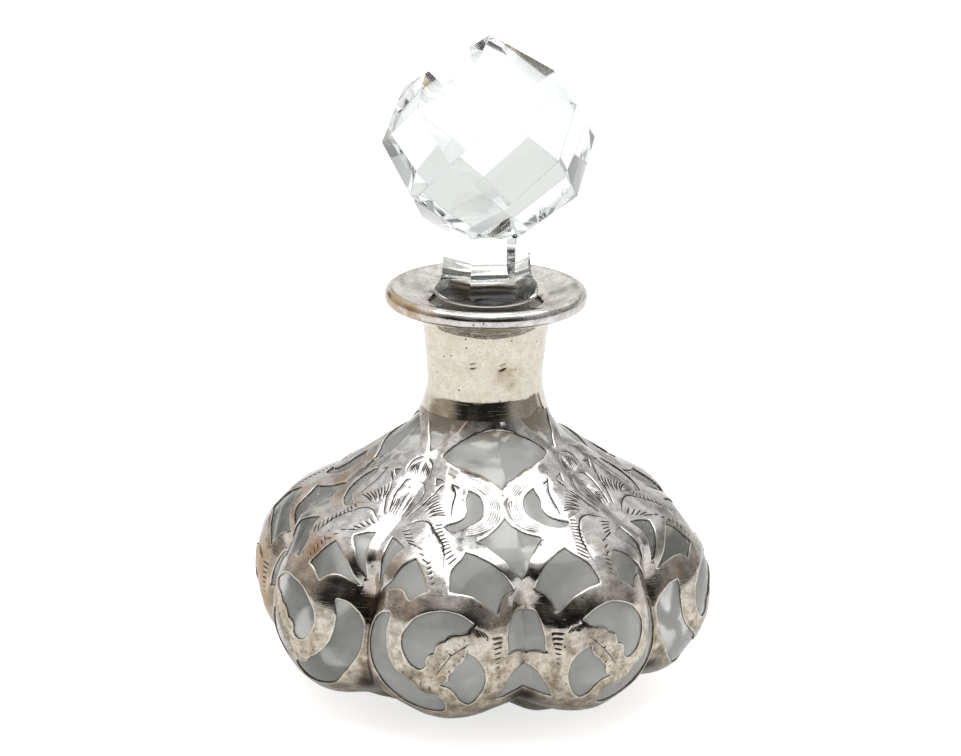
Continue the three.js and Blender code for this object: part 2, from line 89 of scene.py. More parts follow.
# Round profiles, as (radius, height) in mm
NECK = [
    (11.25, 52.3), (10.98, 53.3), (10.72, 54.3), (10.46, 55.3), (10.38, 55.8), (10.38, 58.5),
    (10.72, 63), (11.1, 66.2), (11.55, 68), (12.75, 69.45), (15.1, 70.25),
]
UNDER_LIP = [(16.5, 70.65), (17, 70.95)]
NECK_RETURN = [(16.6, 71.3), (15.6, 70.75)]  # from there round to the inside
LIP_ROLL = [
    (17.25, 71), (17.62, 71.2), (17.9, 71.65), (18, 72.15), (17.97, 72.6), (17.86, 73.05),
    (17.58, 73.5), (17.15, 73.78), (16.6, 73.88),
]
LIP_TOP = [(15.7, 73.65), (14.2, 73.1), (12.4, 72.6), (10.7, 72.05), (10, 71.4)]
LIP_BACK = [(10.4, 71.1), (12.2, 71.65), (14.4, 72.2), (16.3, 72.5), (17, 72.2), (17, 71.6)]
GLASS_LIP = [(15.4, 71.1), (15.9, 71.45), (15.6, 71.85), (14.2, 71.9), (12.2, 71.5)]
THROAT = [(11.1, 70.95), (8.2, 70)]
BORE = [(7.5, 69.5), (6.55, 48.7), (6.6, 47.5), (7.4, 45.4), (10.2, 43.6)]

# The stopper, with its ball's rings of corners as (radius, height above its middle)
STOPPER_TURN = 12.4
STOPPER_SIDES = 6
SHANK_COLUMNS = 96
FACET_EDGE = 0.11  # width of the softened edges between the facets
BALL_HEIGHT = 100.1
BALL_APEX = 19.25
BALL_RINGS = [(11.34, 12.66), (16.14, 8.42), (18.94, 0.45), (16.68, -7.98), (11.65, -13.22)]
BALL_FOOT = (8.05, -15.65)
SHANK_CORNERS = [
    (72.9, 11), (73.9, 9.4), (75.4, 8.3), (77.5, 7.85), (80, 7.8), (83, 7.95), (86, 8.05),
]
SHANK_ROUND = [(72.45, 8.7), (72.8, 9.15), (73.4, 9.25), (75, 9.1), (86, 9.1)]
FLARE_TOP = 76  # below this the shank flares out over its collar
PEG = [(8.15, 72.45), (7.3, 69.5), (6.3, 49), (5.8, 48.5), (0, 48.5)]


def curve_through(table, x):
    """A smooth curve through a table's (x, y) rows that never overshoots them."""
    xs, ys = np.array(table, float).T
    slopes = np.diff(ys) / np.diff(xs)
    before, after = slopes[:-1], slopes[1:]
    joint = before + after
    joint[joint == 0] = 1
    inner = np.where(before * after <= 0, 0, 2 * before * after / joint)
    tangents = np.concatenate([[slopes[0]], inner, [slopes[-1]]])
    x = np.clip(x, xs[0], xs[-1])
    i = np.clip(np.searchsorted(xs, x, side="right") - 1, 0, len(xs) - 2)
    width = xs[i + 1] - xs[i]
    t = (x - xs[i]) / width
    rise = ys[i] * (2 * t**3 - 3 * t**2 + 1) + ys[i + 1] * (3 * t**2 - 2 * t**3)
    return rise + width * (tangents[i] * (t**3 - 2 * t**2 + t) + tangents[i + 1] * (t**3 - t**2))


def outer_reach(turn, elevation):
    across = np.abs(np.sin(np.radians(turn * LOBES / 2))) ** curve_through(FULLNESS, elevation)
    depth = curve_through(CREASE, elevation)
    return curve_through(RIDGE, elevation) * (1 - depth * (1 - across))


def inner_reach(turn, elevation):
    crease = curve_through(RIDGE, elevation) * (1 - curve_through(CREASE, elevation))
    outer = crease + INNER_LOBING * (outer_reach(turn, elevation) - crease)
    return outer - 0.8 - curve_through(WALL, elevation)


def swell_points(turn, elevation, reach):
    """Points in mm at a turn and an elevation, in degrees, seen from the swell point."""
    t, e = np.radians(turn), np.radians(elevation)
    flat = reach * np.cos(e)
    return np.stack([flat * np.sin(t), -flat * np.cos(t), SWELL_HEIGHT + reach * np.sin(e)], -1)


def surface_points(turn, elevation, rise):
    """Points in mm on the lobed surface, raised along its normal."""
    turn, elevation = np.broadcast_arrays(np.asarray(turn, float), np.asarray(elevation, float))
    step = 0.4

    def at(a, b):
        return swell_points(a, b, outer_reach(a, b))

    round_way = at(turn + step, elevation) - at(turn - step, elevation)
    up = at(turn, elevation + step) - at(turn, elevation - step)
    normal = np.cross(round_way, up)
    length = np.linalg.norm(normal, axis=-1, keepdims=True)
    normal = np.where(length > 1e-9, normal / np.maximum(length, 1e-9), (0, 0, -1))
    return at(turn, elevation) + normal * np.asarray(rise)[..., None]


# The pierced pattern: half a flower, from its own crease, at turn 0, to the crease that it
# shares with the next one, at turn 45. Each row is (turn, elevation), and C marks a corner.
C = 1
OPENINGS = {
    "beside_petal": [
        (29.2, 52.2, C), (32.7, 51), (35.3, 49.2), (36.5, 46.5), (35.6, 43.5), (33.5, 41.2),
        (31, 39.5), (27.8, 38.2), (24.7, 37.4), (21.5, 38.9, C), (26, 40.3), (28.8, 42.3),
        (29.5, 44.6), (28.3, 48),
    ],
    "petal_notch": [(11.5, 55.8, C), (15.5, 54.8, C), (12.5, 52.8, C)],
    "beside_stem": [
        (3.4, 33.2, C), (6.5, 32.4), (9.8, 30.6, C), (7, 27.3), (4.6, 23.8), (2.2, 20.6, C),
        (2.6, 24.5), (3.2, 29),
    ],
    "ring_heart": [
        (8.2, 13.4, C), (5.6, 12.9), (3.2, 11.2), (1.6, 8.6), (1.1, 5.8), (1.3, 2.5),
        (2.6, -1.5), (4.8, -5), (8, -8.6), (12, -11.6), (16, -13), (20, -13.6), (23.2, -12.8),
        (24, -10.6), (23.3, -8.2), (21.4, -6.6), (18.8, -6.5), (17, -5.6, C), (15.8, -3.8),
        (13.2, -2), (10.6, 0), (8.8, 2.8), (7.9, 6), (7.9, 9.5), (8.4, 12),
    ],
    "under_leaf": [
        (14.6, 27.9, C), (16.6, 25), (18, 22.3), (18.9, 20.3, C), (16.5, 19.3), (14, 17.4, C),
        (12, 19.3), (9.5, 19.8), (6.5, 19.2), (3.6, 18.2, C), (6.5, 21), (10.5, 25.3),
    ],
    "inner_curl": [
        (31, 12.6, C), (28.3, 14.4), (24.7, 15.6), (21.2, 15.3), (17.2, 13.8), (14.6, 11.3),
        (13.3, 8.8), (13.2, 6.3), (14, 3.8), (15.8, 1.7), (18.2, 0.9), (19.9, 2, C),
        (20.6, 4.2), (22.4, 5.9), (23.8, 7.7), (25.6, 9.6), (27.6, 10.6), (30, 10.6),
    ],
    "outer_curl": [
        (29.5, 5.8, C), (31.5, 4.8), (33.2, 2.8), (34.2, 0), (34.2, -3), (33, -6), (31, -9),
        (29.6, -10, C), (27.8, -8.6), (26.8, -6.4), (25.3, -4.2), (23, -3.2, C), (24.6, -1.4),
        (25.3, 0.6), (26.3, 2.2), (27.8, 2.7), (28.6, 4.2),
    ],
    "over_ring": [
        (29.3, 31.2, C), (33, 29.9), (36.8, 27.7), (39.3, 25.1), (41, 22.8), (42.2, 21, C),
        (40, 20.2), (38.3, 18.6), (37.3, 16.6), (36.9, 14.7, C), (33.5, 17.6), (29, 19.8),
        (24.4, 20.5, C), (24.8, 24.5), (26.2, 27.2), (28, 29),
    ],
}
# Openings that the crease between two flowers halves
CREASE_OPENINGS = {
    "under_arch": [
        (45, 71.5), (34, 70.9), (26, 69.7), (18.8, 67.9), (14, 66.2), (9.5, 64, C), (16, 62),
        (21.7, 60.8), (31.8, 59.1), (40, 56.6), (43, 55), (45, 53.7),
    ],
    "diamond": [
        (45, 42.6, C), (42.5, 40.3), (40, 38.2), (37, 36.2), (34.2, 34.9, C), (36.5, 33.3),
        (39, 31), (41.3, 28.3), (43, 25.8), (45, 23.6, C),
    ],
    "crease_arch": [
        (45, 15.6), (42.3, 15.2), (41.1, 12.5), (40.4, 8.5), (40.2, 4.2, C), (42, 4.9),
        (43.6, 4.9), (45, 4.3),
    ],
    "crease_mouth": [
        (45, 0.9), (42.8, -0.2), (41, -2.2), (39.2, -5.5), (37.4, -9.2, C), (39.5, -8.8),
        (42, -7.6), (45, -6.6),
    ],
}
OVER_FLOWER = [(0, 64.8, C), (4.5, 67), (9.8, 69.2), (15.5, 71), (21.5, 73, C)]
DRIFT_BODY = [(22, 0), (38, 3)]
DRIFT_SHOULDER = [(50, 0), (60, 6)]
OUTLINE_STEP = 0.75  # degrees between the points of an outline, of the grid and of a line
GRID_STEP = 1.25
LINE_STEP = 0.8
EDGE_STEPS = (0.13, 0.34)  # how far in from an outline its edge's rounding is shaped, in mm
EDGE_ROUND = [(0, -0.13), (0.13, -0.035), (0.34, 0), (5, 0)]

# Engraved lines are rows of (turn, elevation) and a cut, which is (width, depth) in mm
FINE, THIN, CUT, DEEP = (0.17, 0.035), (0.22, 0.06), (0.32, 0.08), (0.32, 0.09)
LUMPS_ON = {"inner_curl": 1, "outer_curl": 2}  # the runs that edge the leaf between the curls
LUMP_LENGTH = 4.2
LUMP_DEPTH = 0.9
OUTLINES_CUT = [
    ([(3.4, 40.6), (5.5, 44.5), (6.7, 47.5), (7, 50), (6, 52.5), (4, 53.5), (0.3, 54)], CUT),
    ([(5, 39.2), (7.5, 43), (9.8, 46), (11, 49)], CUT),
    ([(7.6, 54.6), (7.4, 57.5), (5.6, 60.3), (2.8, 61.9), (0.3, 62.3)], CUT),
    ([(20, 55), (22.5, 51), (23, 47), (23.4, 41.2)], CUT),
    ([(13, 42), (17, 40.6), (20, 40), (22.6, 39.2)], FINE),
    ([(4.6, 36.2), (10, 39.3), (13, 39.8), (16, 39), (19, 36.5), (22, 33), (23, 29.5), (23, 26)], DEEP),
    ([(20, 54.2), (25, 52.6)], CUT),
]


def fan(start_line, end_line, count, cut, bow=0, stagger=0):
    """Engraved strokes from places along one line to places along another.

    Every second stroke starts late by a share of its length."""
    starts, ends = np.linspace(*start_line, count), np.linspace(*end_line, count)
    starts[1::2] += stagger * (ends - starts)[1::2]
    middles = (starts + ends) / 2 + bow * (starts - ends)[:, ::-1] * (1, -1)
    return [(rows, cut) for rows in zip(starts, middles, ends)]


def arcs(middle, first, last, count, sweep, cut):
    """Concentric engraved arcs beside the edge of a round band."""
    angles = np.radians(np.linspace(-sweep[0], sweep[1], 9))
    way = np.stack([np.cos(angles), np.sin(angles)], -1)
    return [(middle + radii * way, cut) for radii in np.linspace(first, last, count)]


ENGRAVING = [
    *OUTLINES_CUT,
    *fan([(0.9, 39.4), (3.8, 40.4)], [(1.1, 50.4), (6, 45.2)], 7, THIN, 0, 0.35),
    *fan([(0.9, 55.3), (6.3, 55.1)], [(1.5, 61), (6, 58.3)], 6, THIN),
    *fan([(8.6, 44.6), (13.6, 41.6)], [(13.8, 50.6), (22.2, 42.4)], 9, CUT, 0.06, 0.2),
    *fan([(12.4, 50.2), (14.4, 52.6)], [(15.6, 52.6), (17.4, 53.8)], 3, CUT),
    *fan([(5.4, 35.2), (9.6, 32.4)], [(9.6, 36.9), (14.2, 31.4)], 5, CUT),
    *fan([(13.6, 31.4), (16.2, 28.2)], [(16.4, 30.6), (18.2, 27)], 3, CUT),
    *fan([(17.6, 38.6), (23.9, 27)], [(21, 39.4), (26.9, 29.6)], 11, CUT),
    *fan([(17.4, 26.4), (19.4, 21.4)], [(19.6, 27.6), (20.8, 22.8)], 5, CUT),
    *arcs((28, 46.4), (11.4, 7.8), (15.2, 10.2), 5, (84, 80), FINE),
    *fan([(16.4, 58.2), (17.4, 60)], [(23.4, 56.6), (24.6, 58.2)], 5, FINE),
    *fan([(35.2, 9), (36.4, 1)], [(38.8, 9.4), (37.8, 1.4)], 7, CUT),
    *fan([(31.2, 12), (33.4, 11)], [(33.4, 9.6), (35, 9)], 3, CUT),
    ([(30.6, 8.8), (28.2, 6.8), (25.8, 4.6), (23.6, 1.8), (21.2, -1.4)], THIN),
    *fan([(29.4, 8.4), (22.4, 0.9)], [(28.6, 9.8), (21.3, 2)], 7, THIN),
    *fan([(29.6, 7), (23.6, 0.4)], [(30, 5.6), (24.6, -0.9)], 6, THIN),
    *fan([(20.6, -3), (12, 1)], [(19.8, -5.6), (10.6, -1.4)], 5, THIN),
]


def smooth_run(rows, step, flat=False):
    """A centripetal curve through a run of points, cut into even steps.

    The points are turns and elevations in degrees, or flat ones, such as a profile's."""
    knots = np.array([row[:2] for row in rows], float)
    p = np.vstack([2 * knots[0] - knots[1], knots, 2 * knots[-1] - knots[-2]])
    pieces = []
    t = np.linspace(0, 1, 17)[:-1, None]
    for before, start, end, after in zip(p, p[1:], p[2:], p[3:]):
        hops = (start - before, end - start, after - end)
        d, e, f = (max(1e-4, np.sum(hop**2) ** 0.25) for hop in hops)
        a = (hops[0] / d - (end - before) / (d + e) + hops[1] / e) * e
        b = (hops[1] / e - (after - start) / (e + f) + hops[2] / f) * e
        square = -3 * start + 3 * end - 2 * a - b
        pieces.append(start + a * t + square * t**2 + (2 * start - 2 * end + a + b) * t**3)
    dense = np.vstack([*pieces, knots[-1:]])
    narrow = 1 if flat else np.cos(np.radians((dense[1:, 1] + dense[:-1, 1]) / 2))
    along = length_along(dense, narrow)
    count = max(2, int(round(along[-1] / step)))
    return read_off(dense, along, np.linspace(0, along[-1], count + 1))


def length_along(run, narrow):
    """How far along a run each of its points lies, where its turns are narrowed."""
    hops = np.hypot(np.diff(run[:, 0]) * narrow, np.diff(run[:, 1]))
    return np.concatenate([[0], np.cumsum(hops)])


def read_off(rows, along, places):
    """Rows of numbers at places between those that lie at along."""
    return np.stack([np.interp(places, along, column) for column in rows.T], -1)


def smooth_dense(run, step):
    along = length_along(run, np.cos(np.radians(run[1:, 1])))
    return read_off(run, along, np.arange(0, along[-1] + step, step).clip(max=along[-1]))


def left_of(way):
    """Unit steps to the left of each step of a way."""
    way = way / np.maximum(np.linalg.norm(way, axis=1, keepdims=True), 1e-9)
    return np.stack([-way[:, 1], way[:, 0]], -1)


def lumpy(run, heart):
    """A run of an outline with round lumps that swell towards a point in the opening."""
    along = length_along(run, 1)
    count = max(1, round(along[-1] / LUMP_LENGTH))
    swell = LUMP_DEPTH * np.abs(np.sin(np.pi * count * along / along[-1])) ** 0.8
    swell *= 0.7 + 0.3 * np.sin(2.3 * np.floor(count * along / along[-1] * 0.9999))
    left = left_of(np.gradient(run, axis=0))
    side = np.sign(np.sum((heart - run.mean(0)) * left[len(run) // 2]))
    return run + side * left * swell[:, None]


def smooth_outline(rows, closed=True, lumps_on=None):
    """An outline rounded between its corners, and lumpy on one of its runs."""
    heart = np.mean([row[:2] for row in rows], axis=0)
    if closed:
        first = next(i for i, row in enumerate(rows) if len(row) > 2)
        rows = [*rows[first:], *rows[: first + 1]]
    last = len(rows) - 1
    corners = [0, *(i for i in range(1, last) if len(rows[i]) > 2), last]
    runs = [smooth_run(rows[a : b + 1], OUTLINE_STEP) for a, b in zip(corners, corners[1:])]
    if lumps_on is not None:
        fine = smooth_run(rows[corners[lumps_on] : corners[lumps_on + 1] + 1], OUTLINE_STEP / 2)
        runs[lumps_on] = lumpy(fine, heart)
    return np.vstack([*(run[:-1] for run in runs), [rows[-1][:2]]])


def to_flat(places):
    """The body's surface laid flat about the neck, with every small shape kept true."""
    out = np.tan(np.radians(90 - places[:, 1]) / 2)
    t = np.radians(places[:, 0])
    return np.stack([out * np.sin(t), out * np.cos(t)], -1)


def from_flat(flat):
    turn = np.degrees(np.arctan2(flat[:, 0], flat[:, 1]))
    return np.stack([turn, 90 - 2 * np.degrees(np.arctan(np.hypot(flat[:, 0], flat[:, 1])))], -1)


def on_surface(places):
    return surface_points(places[:, 0], places[:, 1], 0.0)


def inside(points, loop):
    """Which points lie in a closed outline."""
    x, y = points.T
    hit = np.zeros(len(points), bool)
    for (x1, y1), (x2, y2) in zip(loop, np.roll(loop, -1, axis=0)):
        if y1 == y2:
            continue
        crosses = (y1 > y) != (y2 > y)
        hit ^= crosses & (x < (x2 - x1) * (y - y1) / (y2 - y1) + x1)
    return hit


def tree_of(points):
    tree = KDTree(len(points))
    for i, p in enumerate(points):
        tree.insert(p, i)
    tree.balance()
    return tree


def nearest(tree, points):
    """How far off the nearest point of a tree lies, and which one it is."""
    found = [tree.find(p) for p in points]
    return np.array([f[2] for f in found]), np.array([f[1] for f in found])


def across(run, length):
    """Steps over the surface to the left of a run, in degrees, for a length in mm."""
    narrow = np.cos(np.radians(run[:, 1]))
    way = np.gradient(run, axis=0) * np.stack([narrow, np.ones(len(run))], -1)
    step = left_of(way) * np.degrees(length / MEAN_REACH)
    step[:, 0] /= narrow
    return step


class Layout:
    """Half a flower's points, the lines that its faces keep to, and its holes."""

    def __init__(self, holes):
        self.points, self.lines, self.holes = [], [], holes

    def add_points(self, places):
        self.points.extend(map(tuple, places))

    def add_run(self, run, closed=False):
        first = len(self.points)
        self.add_points(run)
        last = len(self.points) - 1
        self.lines.extend((i, i + 1) for i in range(first, last))
        if closed:
            self.lines.append((last, first))

    def in_hole(self, places):
        return np.any([inside(places, hole) for hole in self.holes], axis=0)

    def filled(self):
        """Its triangles outside the holes, as (places, faces)."""
        flat = to_flat(np.array(self.points))
        made = delaunay_2d_cdt([Vector(p) for p in flat], self.lines, [], 0, 1e-6)
        places, faces = from_flat(np.array(made[0])), np.array(made[2])
        heart = places[faces].mean(1)
        faces = faces[~self.in_hole(heart) & (heart[:, 0] > 0) & (heart[:, 0] < 45)]
        used, faces = np.unique(faces, return_inverse=True)
        places = places[used]
        for side in (0, 45):
            places[:, 0] = np.where(np.abs(places[:, 0] - side) < 0.02, side, places[:, 0])
        return places, faces.reshape(-1, 3)


def beside_edges(layout, edges, edge_tree):
    """Places beside the outlines, where the silver's edge rounds over."""
    for run, distance, side in product(edges, EDGE_STEPS, (-1, 1)):
        places = run + side * across(run, distance)
        gap, _ = nearest(edge_tree, on_surface(places))
        turn, elevation = places.T
        fits = (gap > 0.8 * distance) & (turn > 0.3) & (turn < 44.7)
        fits &= (elevation < COLLAR_BOTTOM - 0.2) & (elevation > SILVER_BOTTOM + 0.3)
        yield places[fits & ~layout.in_hole(places)]


def engrave(layout):
    """Lays out the engraved lines, each with a middle and two shoulders.

    Gives rows of (turn, elevation, half width, depth) all along them."""
    cuts = []
    for rows, (width, depth) in ENGRAVING:
        run = smooth_run(rows, LINE_STEP)
        run = run[~layout.in_hole(run)]
        if len(run) < 3:
            continue
        t = np.linspace(0, 1, len(run))
        taper = np.sqrt(4 * t * (1 - t))
        half = 0.5 * width * (0.25 + 0.75 * taper)
        layout.add_run(run)
        for side in (-1, 1):
            layout.add_points((run + side * across(run, half[:, None]))[1:-1])
        cut = np.column_stack([run, half, depth * taper])
        cuts.append(read_off(cut, np.arange(len(run)), np.linspace(0, len(run) - 1, 6 * len(run))))
    return np.vstack(cuts)


def between(layout, edge_tree, line_tree):
    """Places between the lines, which carry the lobes' form."""
    grid = []
    for j, elevation in enumerate(np.arange(SILVER_BOTTOM + 1.0, COLLAR_BOTTOM, GRID_STEP)):
        columns = max(3, int(round(45 / (GRID_STEP / math.cos(math.radians(elevation))))))
        turns = (np.arange(columns) + (0.5 if j % 2 else 0.0)) * 45 / columns
        grid.append(np.stack([turns, np.full(columns, elevation)], -1))
    grid = np.vstack(grid)
    placed = on_surface(grid)
    clear = (nearest(edge_tree, placed)[0] > 0.55) & (nearest(line_tree, placed)[0] > 0.4)
    clear &= (grid[:, 0] > 0.5) & (grid[:, 0] < 44.5)
    return grid[clear & ~layout.in_hole(grid)]


def level_run(elevation, count):
    return np.stack([np.linspace(0, 45, count), np.full(count, elevation)], -1)


def half_flower():
    """The pattern's half flower laid flat: places, faces, rise in mm, share of cut and of edge."""
    loops = [smooth_outline(rows, lumps_on=LUMPS_ON.get(name))[:-1] for name, rows in OPENINGS.items()]
    halves = [smooth_outline(rows, closed=False) for rows in CREASE_OPENINGS.values()]
    notch = smooth_outline(OVER_FLOWER, closed=False)
    whole = [np.vstack([half, (2 * 45, 0) + half[::-1] * (-1, 1)]) for half in halves]
    layout = Layout([*loops, *whole, np.vstack([notch, [(21.5, 80), (0, 80)]])])
    edges = [*(np.vstack([loop, loop[:1]]) for loop in loops), *halves, notch]
    dense = [smooth_dense(run, 0.12) for run in edges]
    edge_tree = tree_of(on_surface(np.vstack([*dense, level_run(SILVER_BOTTOM, 361)])))

    for loop in loops:
        layout.add_run(loop, closed=True)
    for run in [*halves, notch]:
        layout.add_run(run)
    rows = np.arange(SILVER_BOTTOM, COLLAR_BOTTOM + 0.01, 1.0)
    for turn in (0.0, 45.0):
        layout.add_run(np.stack([np.full(len(rows), turn), rows], -1))
    for elevation, count in ((SILVER_BOTTOM, 40), (COLLAR_BOTTOM, 24)):
        layout.add_run(level_run(elevation, count))
    for places in beside_edges(layout, edges, edge_tree):
        layout.add_points(places)
    cuts = engrave(layout)
    line_tree = tree_of(on_surface(cuts))
    layout.add_points(between(layout, edge_tree, line_tree))

    places, faces = layout.filled()
    spaced = on_surface(places)
    gap, _ = nearest(edge_tree, spaced)
    off, which = nearest(line_tree, spaced)
    half, depth = cuts[which, 2:].T
    engraved = np.clip(1 - off / (half + 1e-6), 0, 1)
    rise = curve_through(EDGE_ROUND, gap) - depth * engraved
    return places, faces, rise, engraved * depth / DEEP[1], np.clip(gap / 0.6, 0, 1)


def drift(turn, elevation):
    around = np.radians(turn - 45)
    body = -curve_through(DRIFT_BODY, elevation) * np.cos(around)
    return body + curve_through(DRIFT_SHOULDER, elevation) * np.sin(around)


def new_object(name, data):
    made = bpy.data.objects.new(name, data)
    bpy.context.scene.collection.objects.link(made)
    return made


def mesh_of(name, bm, materials):
    mesh = bpy.data.meshes.new(name)
    bm.to_mesh(mesh)
    bm.free()
    for material in materials:
        mesh.materials.append(material)
    return mesh


def finish_piece(name, bm, materials, body, sharp=40):
    bmesh.ops.recalc_face_normals(bm, faces=bm.faces[:])
    mesh = mesh_of(name, bm, materials)
    mesh.shade_smooth()
    mesh.set_sharp_from_angle(angle=math.radians(sharp))
    piece = new_object(name, mesh)
    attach(piece, body)
    return piece


def only_verts(geom):
    return [g for g in geom if isinstance(g, bmesh.types.BMVert)]


def round_noise(turn, elevation, per_turn, per_height, start):
    """Smooth noise over the body, for places in degrees."""
    around = np.radians(turn)
    return np.array([
        noise.noise(Vector((per_turn * math.sin(a) + start, per_turn * math.cos(a), per_height * e)))
        for a, e in zip(around, elevation)
    ])


def elevation_at(turn, height, rise):
    """The elevation at which the surface, raised by rise, passes a height in mm."""
    below = np.full(len(turn), -89.0)
    above = np.full(len(turn), float(FOOT_FROM))
    for _ in range(24):
        middle = (below + above) / 2
        higher = surface_points(turn, middle, rise)[:, 2] > height
        above = np.where(higher, middle, above)
        below = np.where(higher, below, middle)
    return above


def hand_cut(turn, elevation):
    """The pattern as cut by hand: drifted round, and wandering a little from its drawing."""
    turn = turn + drift(turn, elevation)
    sideways, upwards = (HAND_WANDER * round_noise(turn, elevation, 9, 0.16, start) for start in (3.0, 43.7))
    hold = np.clip((COLLAR_BOTTOM - elevation) / 4, 0, 1)
    turn = turn + sideways * hold / np.maximum(np.cos(np.radians(elevation)), 0.2)
    elevation = elevation + upwards * hold
    low = elevation < FOOT_FROM
    drop = (elevation[low] - FOOT_FROM) * (elevation_at(turn[low], FOOT_LINE, 0.0) - FOOT_FROM)
    elevation[low] = FOOT_FROM + drop / (SILVER_BOTTOM - FOOT_FROM)
    return turn, elevation


def flat_pattern():
    """The four flowers side by side, as a flat sheet of (turn, elevation, rise)."""
    places, faces, rise, engraved, edge = half_flower()
    bm = bmesh.new()
    engraved_layer = bm.verts.layers.float.new("engraved")
    edge_layer = bm.verts.layers.float.new("from_edge")
    for place, up, cut, gap in zip(places, rise, engraved, edge):
        vert = bm.verts.new((*place, up))
        vert[engraved_layer] = cut
        vert[edge_layer] = gap
    bm.verts.ensure_lookup_table()
    for face in faces:
        bm.faces.new([bm.verts[i] for i in face])
    half = bm.verts[:] + bm.edges[:] + bm.faces[:]
    bmesh.ops.mirror(bm, geom=half, axis="X", matrix=Matrix(), merge_dist=1e-4)
    unit = bm.verts[:] + bm.edges[:] + bm.faces[:]
    for quarter in (1, 2, 3):
        copy = bmesh.ops.duplicate(bm, geom=unit)["geom"]
        bmesh.ops.translate(bm, verts=only_verts(copy), vec=(90 * quarter, 0, 0))
    bmesh.ops.remove_doubles(bm, verts=bm.verts[:], dist=1e-4)
    return bm


def silver_overlay(face_silver, back_silver):
    """The pierced sheet, with its face engraved and rippled and its back plain."""
    bm = flat_pattern()
    made = bmesh.ops.extrude_face_region(bm, geom=bm.faces[:], use_keep_orig=True)["geom"]
    back = set(only_verts(made))
    for face in bm.faces:
        face.material_index = int(back.issuperset(face.verts))
    front = [v for v in bm.verts if v not in back]
    for verts in (list(back), front):
        turn, elevation, rise = np.array([v.co for v in verts]).T
        turn, elevation = hand_cut(turn, elevation)
        if verts is front:
            ripple = round_noise(turn, elevation, 11, 0.2, 9.0)
            ripple += 0.5 * round_noise(turn, elevation, 26, 0.45, 5.0)
            rise = rise + RIPPLE * (ripple - 0.6)
        else:
            rise = -SILVER
        for vert, place in zip(verts, surface_points(turn, elevation, rise) * MM):
            vert.co = place
    bmesh.ops.remove_doubles(bm, verts=bm.verts[:], dist=1e-6)
    piece = finish_piece("silver_overlay", bm, [face_silver, back_silver], "bottle")
    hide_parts("silver_fretwork")


def grid_piece(rows, columns, inside_from):
    """A closed form from rows, each a function from turns to points in mm.

    The rows from number inside_from on have the second material."""
    bm = bmesh.new()
    bmesh.ops.create_grid(bm, x_segments=columns, y_segments=len(rows) - 1, size=0.5)

    def row_of(vert):
        return int(round((vert.co.y + 0.5) * (len(rows) - 1)))

    for face in bm.faces:
        face.material_index = int(min(row_of(vert) for vert in face.verts) >= inside_from)
    members = {}
    for vert in bm.verts:
        members.setdefault(row_of(vert), []).append((int(round((vert.co.x + 0.5) * columns)), vert))
    turns = np.linspace(0, 360, columns + 1)
    for row, places in members.items():
        placed = rows[row](turns) * MM
        for column, vert in places:
            vert.co = placed[column]
    bmesh.ops.remove_doubles(bm, verts=bm.verts[:], dist=1e-7)
    bmesh.ops.dissolve_degenerate(bm, edges=bm.edges[:], dist=1e-7)
    return bm


def glass_row(elevation):
    return lambda turns: surface_points(turns, elevation, -GLASS_DEPTH)


def foot_row(share):
    """A row of the lobes' feet, from 0 round the ground flat to 1 at the pattern's lower edge."""
    def row(turns):
        edge = elevation_at(turns, 0, -GLASS_DEPTH)
        points = glass_row(edge + share * (SILVER_BOTTOM - edge))(turns)
        points[:, 2] = np.maximum(points[:, 2], 0)
        return points
    return row


def hollow_row(elevation):
    return lambda turns: swell_points(turns, elevation, inner_reach(turns, elevation))


def round_row(radius, height):
    def row(turns):
        t = np.radians(turns)
        return np.stack([radius * np.sin(t), -radius * np.cos(t), np.full(len(t), height)], -1)
    return row


def smooth_profile(profile, step=0.5):
    """Extra points along a round profile, on a curve through its rows."""
    return [tuple(p) for p in smooth_run(profile, step, flat=True)]


def glass_body(glass, hazed):
    lining = [(r - GLASS_DEPTH - 0.05, z) for r, z in NECK[1:]]
    outside = [round_row(0, 0), *(foot_row(k / 12) for k in range(12))]
    outside += [glass_row(e) for e in np.arange(SILVER_BOTTOM, COLLAR_BOTTOM - 0.5, 2.0)]
    outside += [round_row(*p) for p in [*smooth_profile([*lining, *GLASS_LIP]), *THROAT]]
    hollow = [round_row(*p) for p in BORE]
    hollow += [hollow_row(e) for e in [*np.arange(HOLLOW_TOP, -60, -3.0), *np.arange(-60, -90.1, -5.0)]]
    bm = grid_piece([*outside, *hollow], 192, len(outside))
    piece = finish_piece("glass_body", bm, [glass, hazed], "bottle", sharp=60)
    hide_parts("glass_bottle")


def spun_piece(name, profile, materials, node, shape):
    """A round piece spun from its closed profile, then shaped by a function of each corner.

    Faces that look towards the axis have the second material."""
    bm = bmesh.new()
    verts = [bm.verts.new((0, -r * MM, z * MM)) for r, z in profile]
    edges = [bm.edges.new((a, b)) for a, b in zip(verts, [*verts[1:], verts[0]])]
    bmesh.ops.spin(
        bm, geom=verts + edges, cent=(0, 0, 0), axis=(0, 0, 1), angle=math.tau, steps=216, use_merge=True
    )
    bmesh.ops.remove_doubles(bm, verts=bm.verts[:], dist=1e-7)
    bmesh.ops.recalc_face_normals(bm, faces=bm.faces[:])
    for vert in bm.verts:
        turn = math.degrees(math.atan2(vert.co.x, -vert.co.y))
        out, up = shape(turn, vert.co.z / MM, vert.co / MM)
        vert.co += (Vector((vert.co.x, vert.co.y, 0)).normalized() * out + Vector((0, 0, up))) * MM
    for face in bm.faces:
        middle = face.calc_center_median()
        outwards = face.normal.x * middle.x + face.normal.y * middle.y
        face.material_index = int(outwards < -0.5 * middle.xy.length)
    piece = finish_piece(name, bm, materials, "bottle", sharp=50)
    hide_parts(node)


